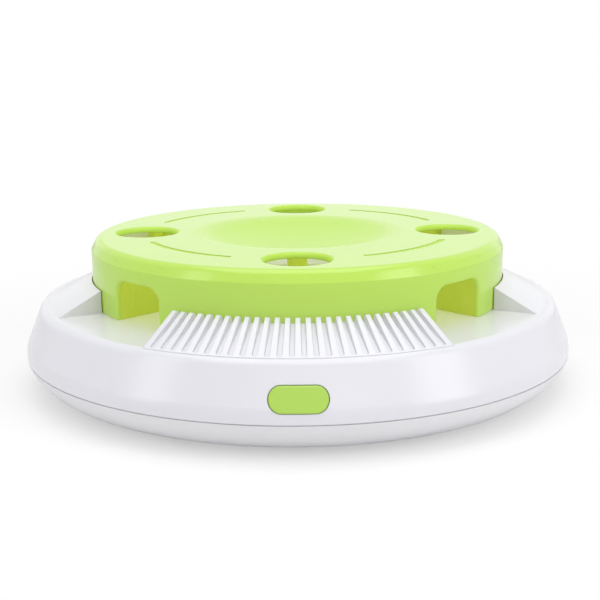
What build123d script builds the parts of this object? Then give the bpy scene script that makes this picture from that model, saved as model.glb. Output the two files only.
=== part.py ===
from build123d import *
from math import acos, asin, atan2, cos, degrees, hypot, pi, radians, sin, sqrt, tan
import os

os.makedirs("parts", exist_ok=True)

# An electronic cat toy: a round floor toy whose lime cover has paw holes and arches over a spinning lure.
# Millimetres. +Z is up, the front with the power button faces -Y, and the origin is the middle of the
# plane on which the rubber feet stand.

# General clearances and fits
press_gap = 0.02
running_gap = 0.05
moulding_gap = 0.3

# Rubber feet
foot_height = 2.0
foot_radius = 7.0
foot_recess = 0.6
foot_inset = 47.0
foot_count = 4

# Casing, split into a lower dish and an upper moulding at the seam
base_radius = 145.0
underside_inset = 22.0
casing_wall = 2.5
seam_rise = 16.0
seam_gap = 0.1
seam_chamfer = 0.4
wall_foot_rise = 5.5
waist_round = 12.0
deck_rise = 43.0
deck_plate = 2.8
rim_inset = 8.7
rim_round = 5.0
lip_width = 1.8
lip_rise = 3.0

# Casing screws and their posts
casing_screw_inset = 31.0
casing_screw_count = 4
casing_screw_radius = 1.5
casing_screw_head_radius = 2.9
casing_screw_head_height = 2.2
casing_screw_bite = 9.0
post_radius = 4.6
post_height = 20.0
boss_radius = 4.0

# Lime cover
cover_inset = 35.5
cover_rise = 33.1
cover_wall = 2.6
cover_plate = 2.8
cover_skirt_gap = 0.4
shoulder_inset = 3.1
shoulder_drop = 5.8
shoulder_round = 4.0
shoulder_edge_round = 1.0
dish_inset = 57.5
dish_depth = 6.0
dish_blend = 40.0
hole_count = 4
hole_inset = 28.7
hole_radius = 15.6
hole_lip = 2.6
arch_count = 4
arch_width = 31.8
arch_rise = 20.5
arch_corner = 7.0
arch_edge_round = 1.4
tunnel_wall = 2.0
tunnel_depth = 26.0
groove_arc = 42.0
groove_width = 3.0
groove_depth = 0.35
cover_boss_radius = 4.0
cover_boss_inset = 11.5
cover_screw_radius = 1.5
cover_screw_head_radius = 2.9
cover_screw_head_height = 2.0
cover_screw_bite = 10.0
centre_post_radius = 5.5
centre_pin_radius = 2.5
centre_pin_length = 4.6

# Ramps and upright walls of the upper casing
ramp_gap = 0.5
ramp_height = 11.5
ramp_length = 22.0
ramp_half_angle = 26.5
upright_wall = 2.2
upright_gap = 0.5
upright_height = 27.0

# Ribbed front ramp
comb_gap = 0.6
comb_height = 13.3
comb_length = 24.2
comb_recess = 1.2
comb_clearance = 0.05
comb_tip_round = 1.4
rib_count = 27
rib_pitch_angle = 2.33
slot_width = 1.6
slot_toe_width = 2.2
slot_depth = 4.0
slot_flare = 6.0
slot_toe_sink = 0.1
slot_end_bevel = 0.5
slot_end_margin = 1.4
comb_skin = 1.8
comb_peg_radius = 2.0
comb_peg_inset = 8.0
comb_peg_angle = 18.0
comb_peg_length = 4.2

# Power button and its switch
button_width = 26.0
button_height = 11.1
button_rise = 27.1
button_gap = 0.3
button_proud = 0.5
button_edge_bevel = 0.5
button_flange = 1.6
button_flange_thickness = 1.4
button_stem_radius = 2.5
button_stem_length = 8.0
button_travel = 1.0
button_stop_gap = 0.4
switch_size = 6.0
switch_height = 3.6
plunger_radius = 1.7
plunger_bite = 1.2

# Circuit board, upright behind the button
board_width = 46.0
board_height = 22.0
board_thickness = 1.6
board_post_depth = 7.0
board_post_width = 7.0
board_post_spacing = 38.0
board_screw_radius = 1.1
board_screw_head_radius = 2.1
board_screw_head_height = 1.3
board_screw_bite = 5.0
chip_length = 9.0
chip_width = 6.0
chip_height = 1.6
chip_offset = 5.0
capacitor_offset = 7.0
capacitor_radius = 2.5
capacitor_length = 6.0

# Batteries, lying side by side across the back
cell_count = 3
cell_radius = 7.25
cell_length = 50.5
cell_gap = 0.3
cell_button_radius = 2.75
cell_button_height = 1.0
contact_thickness = 0.4
contact_size = 11.0
spring_length = 4.0
spring_wire = 0.6
spring_turns = 2
spring_radius = 4.2
spring_taper = 25.0
bay_wall = 1.8
bay_inset = 63.0

# Battery door, a tongued plate that slides out at the back
door_tongue = 2.0
door_lip_thickness = 1.0
door_thickness = 2.2
door_gap = 0.25
door_end_margin = 9.0
door_grip_count = 4
door_grip_width = 1.2
door_grip_depth = 0.5
door_grip_length = 22.0
track_roof = 1.8
track_margin = 4.0

# Gear train
gear_module = 0.7
pressure_angle = radians(20)
gear_backlash = 0.12
addendum_factor = 0.9
dedendum_factor = 1.25
pinion_teeth = 10
wheel_teeth = 40
output_teeth = 60
gear_width = 3.5
gear_layer_gap = 0.8
second_direction = 225.0
first_direction = 250.0
motor_direction = 330.0
gear_pin_radius = 1.0
gear_boss_radius = 2.2
output_shaft_radius = 2.0
output_hub_radius = 5.0

# Gearbox and motor
gearbox_rise = 18.5
gearbox_plate = 2.0
gearbox_wall = 1.8
gearbox_column_radius = 3.5
gearbox_screw_radius = 1.3
gearbox_screw_head_radius = 2.4
gearbox_screw_head_height = 1.6
gearbox_screw_bite = 6.0
gearbox_columns = [(26, 12), (-22, 24), (-42, -42), (16, -44)]
bush_radius = 3.5
bush_flange_radius = 5.0
bush_flange_height = 0.8
motor_radius = 7.75
motor_flat = 12.0
motor_length = 15.4
motor_nose_radius = 2.5
motor_nose_height = 1.2
motor_shaft_radius = 0.75
motor_cup_depth = 8.0
motor_cup_wall = 1.5

# Turntable and lure
turntable_gap = 1.0
turntable_inset = 19.0
turntable_plate = 2.6
turntable_hub_radius = 8.0
turntable_hub_height = 12.0
turntable_rim_width = 2.4
turntable_rim_height = 1.6
paddle_radius = 9.0
lure_inset = 11.8
lure_direction = 45.0
lure_radius = 11.5
lure_peg_radius = 2.5
lure_peg_height = 11.0
lure_flat = 1.2
lure_steps = 7

# Heights above the floor
casing_z = foot_height
floor_z = casing_z + casing_wall
seam_z = foot_height + seam_rise
wall_foot_z = seam_z + wall_foot_rise
deck_z = foot_height + deck_rise
deck_under_z = deck_z - deck_plate
cover_top_z = deck_z + cover_rise
cover_under_z = cover_top_z - cover_plate
skirt_z = deck_z + cover_skirt_gap
shoulder_z = cover_top_z - shoulder_drop
ramp_top_z = deck_z + ramp_height
comb_floor_z = deck_z - comb_recess
comb_top_z = deck_z + comb_height
post_top_z = floor_z + post_height
button_z = foot_height + button_rise
gearbox_z = foot_height + gearbox_rise
gear_floor_z = gearbox_z + gearbox_plate
wheel_z = gear_floor_z + gear_layer_gap + 0.7
middle_z = wheel_z + gear_width + gear_layer_gap
output_z = middle_z + gear_width + gear_layer_gap
lid_z = output_z + gear_width + gear_layer_gap + 0.6
lid_top_z = lid_z + gearbox_plate
turntable_z = deck_z + turntable_gap
turntable_top_z = turntable_z + turntable_plate
hub_top_z = turntable_z + turntable_hub_height
track_top_z = casing_z + door_thickness + door_gap

# Radii that follow from the sizes above
underside_radius = base_radius - underside_inset
rim_radius = base_radius - rim_inset
cover_radius = base_radius - cover_inset
dish_radius = cover_radius - dish_inset
hole_ring = cover_radius - hole_inset
lure_ring = hole_ring - lure_inset
turntable_radius = lure_ring - turntable_inset
foot_ring = base_radius - foot_inset
casing_screw_ring = base_radius - casing_screw_inset
bay_distance = base_radius - bay_inset
wall_lean = (base_radius - rim_radius) / (deck_z - wall_foot_z)
ramp_top_radius = cover_radius + ramp_gap
ramp_toe_radius = ramp_top_radius + ramp_length
comb_inner_radius = cover_radius + comb_gap + press_gap
comb_outer_radius = comb_inner_radius + comb_length
upright_radius = cover_radius - cover_wall - upright_gap
dish_curve_radius = (dish_radius**2 + dish_depth**2) / (2 * dish_depth)


def wall_radius(z):
    """Radius of the leaning outer wall at height z."""
    return base_radius - wall_lean * (z - wall_foot_z)


# Chain of places behind the button, from the wall inwards
button_back = wall_radius(button_z) - casing_wall - moulding_gap - button_flange_thickness
stem_end = button_back - button_stem_length
plunger_reach = button_travel + button_stop_gap
switch_face = stem_end - plunger_reach
board_distance = switch_face - switch_height
plunger_length = plunger_reach + plunger_bite


def radial_plane(angle):
    """Upright plane through the axis, its x pointing outwards at the angle and its y pointing up."""
    outward = (cos(radians(angle)), sin(radians(angle)), 0)
    normal = (sin(radians(angle)), -cos(radians(angle)), 0)
    return Plane(origin=(0, 0, 0), x_dir=outward, z_dir=normal)


def facing_plane(angle, distance):
    """Upright plane square to the radius at the angle, at the distance from the axis, its y pointing up."""
    outward = Vector(cos(radians(angle)), sin(radians(angle)), 0)
    sideways = (-sin(radians(angle)), cos(radians(angle)), 0)
    return Plane(origin=outward * distance, x_dir=sideways, z_dir=outward)


def involute(angle):
    """Involute function, the angle that a flank gains between its base circle and a radius."""
    return tan(angle) - angle


def gear_outline(teeth, tooth_direction):
    """Corners of a gear whose flanks run through points on a true involute, one tooth on the direction."""
    pitch_radius = teeth * gear_module / 2
    base_circle = pitch_radius * cos(pressure_angle)
    tip_radius = pitch_radius + addendum_factor * gear_module
    root_radius = pitch_radius - dedendum_factor * gear_module
    half_at_pitch = (pi * gear_module / 2 - gear_backlash) / (2 * pitch_radius)
    half_at_base = half_at_pitch + involute(pressure_angle)
    flank = [(root_radius, half_at_base)]
    if root_radius < base_circle:
        flank.append((base_circle, half_at_base))
    flank.append((tip_radius, half_at_base - involute(acos(base_circle / tip_radius))))
    corners = []
    for tooth in range(teeth):
        middle = radians(tooth_direction) + 2 * pi * tooth / teeth
        for radius, half in flank:
            corners.append((radius * cos(middle - half), radius * sin(middle - half)))
        for radius, half in reversed(flank):
            corners.append((radius * cos(middle + half), radius * sin(middle + half)))
    return corners


def polar(radius, angle):
    """Point at a radius and an angle in degrees from +X."""
    return (radius * cos(radians(angle)), radius * sin(radians(angle)))


# Lower casing: a shallow dish that carries the feet, the battery bay, the gearbox and the board
dish_run = base_radius - underside_radius
dish_curve = (dish_run**2 + seam_rise**2) / (2 * seam_rise)
dish_inner_curve = dish_curve - casing_wall
dish_inner_angle = degrees(acos((dish_curve - seam_rise) / dish_inner_curve))
lip_outer_radius = base_radius - casing_wall - moulding_gap
bay_half_length = (cell_length + spring_length) / 2 + contact_thickness
bay_half_width = cell_count * (cell_radius + cell_gap / 2) + cell_gap
bay_ceiling_z = track_top_z + 2 * (cell_radius + cell_gap)
door_half_width = bay_half_length + door_tongue / 2
track_half_width = door_half_width + door_gap
throat_half_width = door_half_width - door_tongue
door_inner_y = bay_distance - bay_half_width - bay_wall
door_outer_y = bay_distance + bay_half_width + door_end_margin

with BuildPart() as lower_casing:
    with BuildSketch(Plane.XZ):
        with BuildLine():
            Line((0, casing_z), (underside_radius, casing_z))
            TangentArc((underside_radius, casing_z), (base_radius, seam_z), tangent=(1, 0))
            inner_turns = [share * dish_inner_angle - 90 for share in (2 / 3, 1 / 3, 0)]
            inner_wall = [polar(dish_inner_curve, turn) for turn in inner_turns]
            Polyline(
                (base_radius, seam_z),
                (lip_outer_radius - lip_width / 2, seam_z),
                *[(underside_radius + run, casing_z + dish_curve + rise) for run, rise in inner_wall],
                (0, floor_z),
                (0, casing_z),
            )
        make_face()
    revolve(axis=Axis.Z)
    # Thickened floor over the door's track
    with BuildSketch(Plane.XY.offset(floor_z)):
        with Locations((0, (door_inner_y + underside_radius - track_margin) / 2)):
            Rectangle(2 * (track_half_width + track_margin), underside_radius - door_inner_y + track_margin)
    extrude(amount=track_top_z + track_roof - floor_z)
    # Battery box over the cells
    with BuildSketch(Plane.XY.offset(floor_z)):
        with Locations((0, bay_distance)):
            Rectangle(2 * (bay_half_length + bay_wall), 2 * (bay_half_width + bay_wall))
    extrude(amount=bay_ceiling_z + bay_wall - floor_z)
    # Posts for the casing screws
    with BuildSketch(Plane.XY.offset(floor_z)):
        with PolarLocations(casing_screw_ring, casing_screw_count, start_angle=45):
            Circle(post_radius)
    extrude(amount=post_height)
    # Posts under the gearbox
    with BuildSketch(Plane.XY.offset(floor_z)):
        with Locations(*gearbox_columns):
            Circle(gearbox_column_radius)
    extrude(amount=gearbox_z - floor_z)
    # Posts behind the circuit board
    with BuildSketch(Plane.XY.offset(floor_z)):
        with Locations((0, -board_distance + board_thickness + board_post_depth / 2)):
            with GridLocations(board_post_spacing, 0, 2, 1):
                Rectangle(board_post_width, board_post_depth)
    extrude(amount=button_z + board_height / 2 - floor_z)
    # Locating lip inside the seam
    with BuildSketch(Plane.XY.offset(floor_z + seam_rise / 2)):
        Circle(lip_outer_radius)
        Circle(lip_outer_radius - lip_width, mode=Mode.SUBTRACT)
    extrude(amount=seam_z + lip_rise - floor_z - seam_rise / 2)
    # Battery bay, open to the door below
    with BuildSketch(Plane.XY.offset(track_top_z)):
        with Locations((0, bay_distance)):
            Rectangle(2 * bay_half_length, 2 * bay_half_width)
    extrude(amount=bay_ceiling_z - track_top_z, mode=Mode.SUBTRACT)
    # Track: a wide groove for the door's tongues over a narrower throat, both open at the back
    with BuildSketch(Plane.XY.offset(casing_z)):
        with Locations((0, (door_inner_y - door_gap + base_radius) / 2)):
            Rectangle(2 * throat_half_width, base_radius - door_inner_y + door_gap)
    extrude(amount=track_top_z - casing_z, mode=Mode.SUBTRACT)
    with BuildSketch(Plane.XY.offset(casing_z + door_lip_thickness)):
        with Locations((0, (door_inner_y - door_gap + base_radius) / 2)):
            Rectangle(2 * track_half_width, base_radius - door_inner_y + door_gap)
    extrude(amount=track_top_z - casing_z - door_lip_thickness, mode=Mode.SUBTRACT)
    # Clearance holes and head pockets of the casing screws
    with BuildSketch(Plane.XY.offset(casing_z)):
        with PolarLocations(casing_screw_ring, casing_screw_count, start_angle=45):
            Circle(casing_screw_radius + moulding_gap)
    extrude(amount=post_top_z - casing_z, mode=Mode.SUBTRACT)
    with BuildSketch(Plane.XY.offset(casing_z)):
        with PolarLocations(casing_screw_ring, casing_screw_count, start_angle=45):
            Circle(casing_screw_head_radius + moulding_gap)
    extrude(amount=post_top_z - casing_z - casing_screw_bite, mode=Mode.SUBTRACT)
    # Screw holes of the gearbox posts
    with BuildSketch(Plane.XY.offset(gearbox_z)):
        with Locations(*gearbox_columns):
            Circle(gearbox_screw_radius + press_gap)
    extrude(amount=-gearbox_screw_bite - 1, mode=Mode.SUBTRACT)
    # Screw holes of the board posts
    with BuildSketch(Plane.XZ.offset(board_distance - board_thickness)):
        with Locations((0, button_z)):
            with GridLocations(board_post_spacing, 0, 2, 1):
                Circle(board_screw_radius + press_gap)
    extrude(amount=-board_screw_bite - 1, mode=Mode.SUBTRACT)
    # Shallow seats of the feet
    with BuildSketch(Plane.XY.offset(casing_z)):
        with PolarLocations(foot_ring, foot_count, start_angle=45):
            Circle(foot_radius + press_gap)
    extrude(amount=foot_recess, mode=Mode.SUBTRACT)
lower_casing.part.label = "lower_casing"
export_step(lower_casing.part, "parts/lower_casing.step")

with BuildPart() as rubber_feet:
    with BuildSketch():
        with PolarLocations(foot_ring, foot_count, start_angle=45):
            Circle(foot_radius)
    extrude(amount=foot_height + foot_recess)
rubber_feet.part.label = "rubber_feet"
export_step(rubber_feet.part, "parts/rubber_feet.step")

with BuildPart() as casing_screws:
    with BuildSketch(Plane.XY.offset(post_top_z - casing_screw_bite - casing_screw_head_height)):
        with PolarLocations(casing_screw_ring, casing_screw_count, start_angle=45):
            Circle(casing_screw_head_radius)
    extrude(amount=casing_screw_head_height)
    with BuildSketch(Plane.XY.offset(post_top_z - casing_screw_bite)):
        with PolarLocations(casing_screw_ring, casing_screw_count, start_angle=45):
            Circle(casing_screw_radius)
    extrude(amount=2 * casing_screw_bite)
casing_screws.part.label = "casing_screws"
export_step(casing_screws.part, "parts/casing_screws.step")

# Upper casing: leaning wall, deck, plain ramps and the upright walls behind the cover
tunnel_outer = arch_width / 2 + tunnel_wall
upright_half_angle = 45 - degrees(asin(tunnel_outer / (upright_radius - upright_wall))) - 0.4
cover_boss_offset = arch_width / 2 + tunnel_wall + cover_boss_radius - 0.5
cover_boss_along = sqrt((cover_radius - cover_boss_inset) ** 2 - cover_boss_offset**2)
cover_boss_pitch = hypot(cover_boss_along, cover_boss_offset)
cover_boss_angle = 45 + degrees(atan2(cover_boss_offset, cover_boss_along))
comb_half_angle = (rib_count - 1) / 2 * rib_pitch_angle + 0.7
comb_peg_ring = comb_inner_radius + comb_peg_inset
ramp_slope = ramp_height / ramp_length
ramp_skin_drop = casing_wall * sqrt(1 + ramp_slope**2)

with BuildPart() as upper_casing:
    with BuildSketch(Plane.XZ) as casing_section:
        with BuildLine():
            Polyline(
                (base_radius, seam_z + seam_gap),
                (base_radius, wall_foot_z),
                (rim_radius, deck_z),
                (2 * output_shaft_radius, deck_z),
                (2 * output_shaft_radius, deck_under_z),
                (wall_radius(deck_under_z) - casing_wall, deck_under_z),
                (base_radius - casing_wall, wall_foot_z),
                (base_radius - casing_wall, seam_z + seam_gap),
                close=True,
            )
        make_face()
        fillet(casing_section.vertices().sort_by_distance((rim_radius, deck_z))[0], rim_round)
        fillet(casing_section.vertices().sort_by_distance((base_radius, wall_foot_z))[0], waist_round)
        chamfer(casing_section.vertices().sort_by_distance((base_radius, seam_z + seam_gap))[0], seam_chamfer)
    revolve(axis=Axis.Z)
    for side in (0, 90, 180):
        # Plain ramp, hollow from below
        with BuildSketch(radial_plane(side - ramp_half_angle)):
            with BuildLine():
                Polyline(
                    (ramp_top_radius, deck_z - deck_plate / 2),
                    (ramp_top_radius, ramp_top_z),
                    (ramp_toe_radius, deck_z),
                    (ramp_toe_radius, deck_z - deck_plate / 2),
                    close=True,
                )
            make_face()
        revolve(axis=Axis.Z, revolution_arc=2 * ramp_half_angle)
    for side in (0, 90, 180):
        hollow_start = ramp_top_radius + casing_wall
        hollow_top_z = ramp_top_z - ramp_skin_drop - casing_wall * ramp_slope
        hollow_half_angle = ramp_half_angle - degrees(casing_wall / ramp_top_radius)
        with BuildSketch(radial_plane(side - hollow_half_angle)):
            with BuildLine():
                Polyline(
                    (hollow_start, deck_under_z),
                    (hollow_start, hollow_top_z),
                    (hollow_start + (hollow_top_z - deck_under_z) / ramp_slope, deck_under_z),
                    close=True,
                )
            make_face()
        revolve(axis=Axis.Z, revolution_arc=2 * hollow_half_angle, mode=Mode.SUBTRACT)
    for side in (0, 90, 180, 270):
        # Upright wall behind each panel of the cover
        with BuildSketch(radial_plane(side - upright_half_angle)):
            with Locations((upright_radius - upright_wall / 2, deck_z + upright_height / 2 - deck_plate / 4)):
                Rectangle(upright_wall, upright_height + deck_plate / 2)
        revolve(axis=Axis.Z, revolution_arc=2 * upright_half_angle)
    # Bosses that take the casing screws
    with BuildSketch(Plane.XY.offset(post_top_z + seam_gap)):
        with PolarLocations(casing_screw_ring, casing_screw_count, start_angle=45):
            Circle(boss_radius)
    extrude(amount=deck_under_z + deck_plate / 2 - post_top_z - seam_gap)
    with BuildSketch(Plane.XY.offset(post_top_z + seam_gap)):
        with PolarLocations(casing_screw_ring, casing_screw_count, start_angle=45):
            Circle(casing_screw_radius + press_gap)
    extrude(amount=casing_screw_bite + 2, mode=Mode.SUBTRACT)
    # Recess and peg holes of the ribbed ramp
    with BuildSketch(radial_plane(-90 - comb_half_angle - degrees(comb_clearance / comb_outer_radius))):
        with Locations(((comb_inner_radius + comb_outer_radius) / 2, deck_z)):
            Rectangle(comb_length + 2 * comb_clearance, 2 * comb_recess)
    comb_recess_arc = 2 * (comb_half_angle + degrees(comb_clearance / comb_outer_radius))
    revolve(axis=Axis.Z, revolution_arc=comb_recess_arc, mode=Mode.SUBTRACT)
    with BuildSketch(Plane.XY.offset(deck_z)):
        with Locations(
            polar(comb_peg_ring, -90 - comb_peg_angle),
            polar(comb_peg_ring, -90 + comb_peg_angle),
        ):
            Circle(comb_peg_radius + comb_clearance)
    extrude(amount=-2 * deck_plate, mode=Mode.SUBTRACT)
    # Holes of the cover screws
    with BuildSketch(Plane.XY.offset(deck_z)):
        with PolarLocations(cover_boss_pitch, arch_count, start_angle=cover_boss_angle):
            Circle(cover_screw_radius + moulding_gap)
    extrude(amount=-2 * deck_plate, mode=Mode.SUBTRACT)
    # Button opening in the front wall
    with BuildSketch(Plane.XZ.offset(base_radius + 5)):
        with Locations((0, button_z)):
            SlotOverall(button_width + 2 * button_gap, button_height + 2 * button_gap)
    extrude(amount=-20, mode=Mode.SUBTRACT)
upper_casing.part.label = "upper_casing"
export_step(upper_casing.part, "parts/upper_casing.step")

# Ribbed front ramp: a sector whose sloping top is slotted between the ribs. The slots are deep at the cover
# and run out at the deck. They widen with the radius, and their sides open a little upwards.
slot_reach = comb_length - slot_end_margin
slot_slope = (comb_height - slot_depth + slot_toe_sink) / slot_reach
slot_incline = degrees(atan2(slot_slope, 1))
slot_run = hypot(slot_reach, slot_slope * slot_reach)
slot_floor = Plane(origin=(comb_inner_radius, 0, comb_top_z - slot_depth)).rotated((0, slot_incline, 0))

with BuildPart() as comb_slot:
    with BuildSketch(slot_floor) as slot_shape:
        Polygon(
            (-2 * slot_width, -slot_width / 2),
            (slot_run, -slot_toe_width / 2),
            (slot_run, slot_toe_width / 2),
            (-2 * slot_width, slot_width / 2),
            align=None,
        )
        chamfer(slot_shape.vertices().group_by(Axis.X)[-1], slot_end_bevel)
    extrude(amount=slot_depth + comb_tip_round, taper=-slot_flare)

with BuildPart() as comb_ramp:
    with BuildSketch(radial_plane(-90 - comb_half_angle)) as comb_section:
        with BuildLine():
            Polyline(
                (comb_inner_radius, comb_floor_z),
                (comb_inner_radius, comb_top_z),
                (comb_outer_radius, deck_z),
                (comb_outer_radius, comb_floor_z),
                close=True,
            )
        make_face()
        fillet(comb_section.vertices().sort_by_distance((comb_inner_radius, comb_top_z))[0], comb_tip_round)
    revolve(axis=Axis.Z, revolution_arc=2 * comb_half_angle)
    # Hollow underside
    comb_hollow_radius = comb_inner_radius + comb_skin
    comb_hollow_top = comb_top_z - slot_depth - comb_skin * (slot_slope + sqrt(1 + slot_slope**2))
    comb_hollow_half = comb_half_angle - 1.2
    with BuildSketch(radial_plane(-90 - comb_hollow_half)):
        with BuildLine():
            Polyline(
                (comb_hollow_radius, comb_floor_z),
                (comb_hollow_radius, comb_hollow_top),
                (comb_hollow_radius + (comb_hollow_top - comb_floor_z) / slot_slope, comb_floor_z),
                close=True,
            )
        make_face()
    revolve(axis=Axis.Z, revolution_arc=2 * comb_hollow_half, mode=Mode.SUBTRACT)
    slot_start = -90 - (rib_count - 2) / 2 * rib_pitch_angle
    with PolarLocations(0, rib_count - 1, slot_start, (rib_count - 2) * rib_pitch_angle, endpoint=True):
        add(comb_slot.part, mode=Mode.SUBTRACT)
    # Locating pegs that drop through the deck
    with BuildSketch(Plane.XY.offset(comb_floor_z - comb_peg_length)):
        with Locations(
            polar(comb_peg_ring, -90 - comb_peg_angle),
            polar(comb_peg_ring, -90 + comb_peg_angle),
        ):
            Circle(comb_peg_radius)
    extrude(amount=comb_peg_length + comb_height / 2)
comb_ramp.part.label = "comb_ramp"
export_step(comb_ramp.part, "parts/comb_ramp.step")

# Lime cover: dished top, paw holes, arches that lead into short tunnels, and the centre post
shoulder_slope_run = shoulder_inset * (cover_plate / shoulder_drop)

with BuildPart() as top_cover:
    with BuildSketch(Plane.XZ) as cover_section:
        with BuildLine():
            RadiusArc((0, cover_top_z - dish_depth), (dish_radius, cover_top_z), -dish_curve_radius)
            Polyline(
                (dish_radius, cover_top_z),
                (cover_radius - shoulder_inset, cover_top_z),
                (cover_radius, shoulder_z),
                (cover_radius, skirt_z),
                (cover_radius - cover_wall, skirt_z),
                (cover_radius - cover_wall, shoulder_z - cover_wall / 3),
                (cover_radius - shoulder_inset - cover_wall + shoulder_slope_run / 2, cover_under_z),
                (dish_radius, cover_under_z),
                (dish_radius / 2, cover_under_z - dish_depth * 3 / 4),
                (0, cover_under_z - dish_depth),
                (0, cover_top_z - dish_depth),
            )
        make_face()
        fillet(cover_section.vertices().sort_by_distance((dish_radius, cover_top_z))[0], dish_blend)
        shoulder_corner = (cover_radius - shoulder_inset, cover_top_z)
        fillet(cover_section.vertices().sort_by_distance(shoulder_corner)[0], shoulder_round)
        fillet(cover_section.vertices().sort_by_distance((cover_radius, shoulder_z))[0], shoulder_edge_round)
    revolve(axis=Axis.Z)
    # Tunnel walls that run inwards from both sides of each arch
    tunnel_end = sqrt((cover_radius - cover_wall / 2) ** 2 - tunnel_outer**2)
    for side in (45, 135, 225, 315):
        with BuildSketch(facing_plane(side, tunnel_end)):
            with Locations((0, (skirt_z + cover_under_z) / 2)):
                with GridLocations(arch_width + tunnel_wall, 0, 2, 1):
                    Rectangle(tunnel_wall, cover_under_z - skirt_z + 0.1)
        extrude(amount=-tunnel_depth)
    # Screw bosses beside the tunnels, standing on the deck
    with BuildSketch(Plane.XY.offset(deck_z)):
        with PolarLocations(cover_boss_pitch, arch_count, start_angle=cover_boss_angle):
            Circle(cover_boss_radius)
    extrude(amount=cover_under_z - deck_z + 0.1)
    with BuildSketch(Plane.XY.offset(deck_z)):
        with PolarLocations(cover_boss_pitch, arch_count, start_angle=cover_boss_angle):
            Circle(cover_screw_radius + press_gap)
    extrude(amount=cover_screw_bite + 1, mode=Mode.SUBTRACT)
    # Centre post whose pin steadies the turntable
    post_foot_z = hub_top_z + moulding_gap
    with BuildSketch(Plane.XY.offset(post_foot_z)):
        Circle(centre_post_radius)
    extrude(amount=cover_under_z - dish_depth + cover_plate / 2 - post_foot_z)
    with BuildSketch(Plane.XY.offset(post_foot_z)):
        Circle(centre_pin_radius)
    extrude(amount=-centre_pin_length)
    # Arches
    for side in (45, 135, 225, 315):
        with BuildSketch(facing_plane(side, tunnel_end - cover_wall)) as arch_shape:
            with Locations((0, deck_z + arch_rise / 2)):
                Rectangle(arch_width, arch_rise)
            fillet(arch_shape.vertices().group_by(Axis.Y)[-1], arch_corner)
        extrude(amount=3 * cover_wall + 3, mode=Mode.SUBTRACT)
    arch_edges = top_cover.edges().filter_by(
        lambda edge: abs(hypot((edge @ 0.5).X, (edge @ 0.5).Y) - cover_radius) < 0.01
        and skirt_z + arch_edge_round / 2 < (edge @ 0.5).Z < shoulder_z - shoulder_drop / 4
        and min(abs((edge @ 0.5).X), abs((edge @ 0.5).Y)) > cover_radius / 3
    )
    fillet(arch_edges, arch_edge_round)
    # Paw holes
    with BuildSketch(Plane.XY.offset(cover_top_z)):
        with PolarLocations(hole_ring, hole_count):
            Circle(hole_radius)
    extrude(amount=-2 * cover_plate, mode=Mode.SUBTRACT)
    # Fine grooves on the pitch circle, one between each two holes
    groove_line = CenterArc((0, 0), hole_ring, 45 - groove_arc / 2, groove_arc, mode=Mode.PRIVATE)
    with BuildSketch(Plane.XY.offset(cover_top_z)):
        with PolarLocations(0, hole_count):
            SlotArc(groove_line, groove_width)
    extrude(amount=-groove_depth, mode=Mode.SUBTRACT)
    hole_edges = top_cover.edges().filter_by(GeomType.CIRCLE).filter_by_position(
        Axis.Z, cover_top_z - 0.01, cover_top_z + 0.01
    )
    fillet(hole_edges.filter_by(lambda edge: abs(edge.radius - hole_radius) < 0.01), hole_lip)
top_cover.part.label = "top_cover"
export_step(top_cover.part, "parts/top_cover.step")

with BuildPart() as cover_screws:
    with BuildSketch(Plane.XY.offset(deck_under_z)):
        with PolarLocations(cover_boss_pitch, arch_count, start_angle=cover_boss_angle):
            Circle(cover_screw_head_radius)
    extrude(amount=-cover_screw_head_height)
    with BuildSketch(Plane.XY.offset(deck_under_z)):
        with PolarLocations(cover_boss_pitch, arch_count, start_angle=cover_boss_angle):
            Circle(cover_screw_radius)
    extrude(amount=deck_plate + cover_screw_bite)
cover_screws.part.label = "cover_screws"
export_step(cover_screws.part, "parts/cover_screws.step")


# Power button: a pill that follows the leaning wall, with a flange behind it and a stem to the switch
def wall_band(outer_offset, thickness):
    """Ring of the given thickness whose outside stands off the leaning wall by the offset."""
    with BuildPart() as band:
        with BuildSketch(Plane.XZ):
            with BuildLine():
                Polyline(
                    (wall_radius(wall_foot_z) + outer_offset, wall_foot_z),
                    (wall_radius(deck_z) + outer_offset, deck_z),
                    (wall_radius(deck_z) + outer_offset - thickness, deck_z),
                    (wall_radius(wall_foot_z) + outer_offset - thickness, wall_foot_z),
                    close=True,
                )
            make_face()
        revolve(axis=Axis.Z)
    return band.part


cap_depth = button_proud + casing_wall + moulding_gap + button_flange_thickness
button_skin_band = wall_band(button_proud, cap_depth)
flange_band = wall_band(-casing_wall - moulding_gap, button_flange_thickness)

with BuildPart() as button_cap:
    with BuildSketch(Plane.XZ.offset(base_radius + 5)):
        with Locations((0, button_z)):
            SlotOverall(button_width, button_height)
    extrude(amount=-20)
    add(button_skin_band, mode=Mode.INTERSECT)
    cap_edges = button_cap.edges().filter_by(
        lambda edge: abs(hypot((edge @ 0.5).X, (edge @ 0.5).Y) - button_proud - wall_radius((edge @ 0.5).Z))
        < 0.01
    )
    chamfer(cap_edges, button_edge_bevel)

with BuildPart() as button_flange_part:
    with BuildSketch(Plane.XZ.offset(base_radius + 5)):
        with Locations((0, button_z)):
            SlotOverall(button_width + 2 * button_flange, button_height + 2 * button_flange)
    extrude(amount=-20)
    add(flange_band, mode=Mode.INTERSECT)

with BuildPart() as power_button:
    add(button_cap.part)
    add(button_flange_part.part)
    with BuildSketch(Plane.XZ.offset(stem_end)):
        with Locations((0, button_z)):
            Circle(button_stem_radius)
    extrude(amount=wall_radius(button_z) - casing_wall - stem_end)
power_button.part.label = "power_button"
export_step(power_button.part, "parts/power_button.step")

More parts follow.
